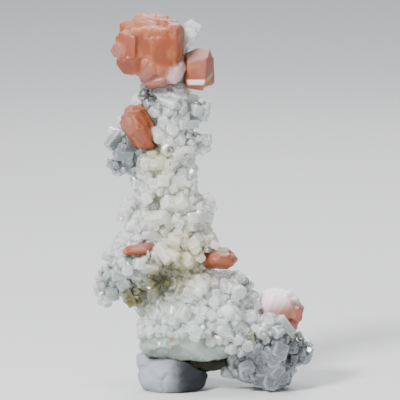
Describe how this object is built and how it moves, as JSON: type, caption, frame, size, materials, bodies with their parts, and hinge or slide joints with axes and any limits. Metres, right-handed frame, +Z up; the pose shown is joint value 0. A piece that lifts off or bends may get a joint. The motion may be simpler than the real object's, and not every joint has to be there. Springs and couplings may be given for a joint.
{
  "type": "apophyllite cluster",
  "caption": "Mineral specimen: a stalactite crusted with pale green-white apophyllite crystals, carrying salmon stilbite, with a bit of olive matrix, propped upright on white putty.",
  "frame": {"origin": "middle of the bounding box, on the surface that the specimen rests on", "axes": "+Z up along the stalactite, +X to the right and -Y towards a viewer of the display side"},
  "size_m": [0.0956, 0.0456, 0.1602],
  "materials": {
    "apophyllite": "vitreous, milky translucent",
    "stilbite": "pearly to silky",
    "pale_stilbite": "pearly",
    "matrix": "dull, earthy",
    "putty": "matte"
  },
  "bodies": {
    "root": {"apophyllite_crust": "apophyllite", "matrix_rock": "matrix", "mounting_putty": "putty", "stilbite_crown": "stilbite", "stilbite_side_prism": "stilbite", "stilbite_left_sheaf": "stilbite", "stilbite_left_blade": "pale_stilbite", "stilbite_right_bud": "stilbite", "stilbite_low_disc": "pale_stilbite"}
  },
  "joints": []
}
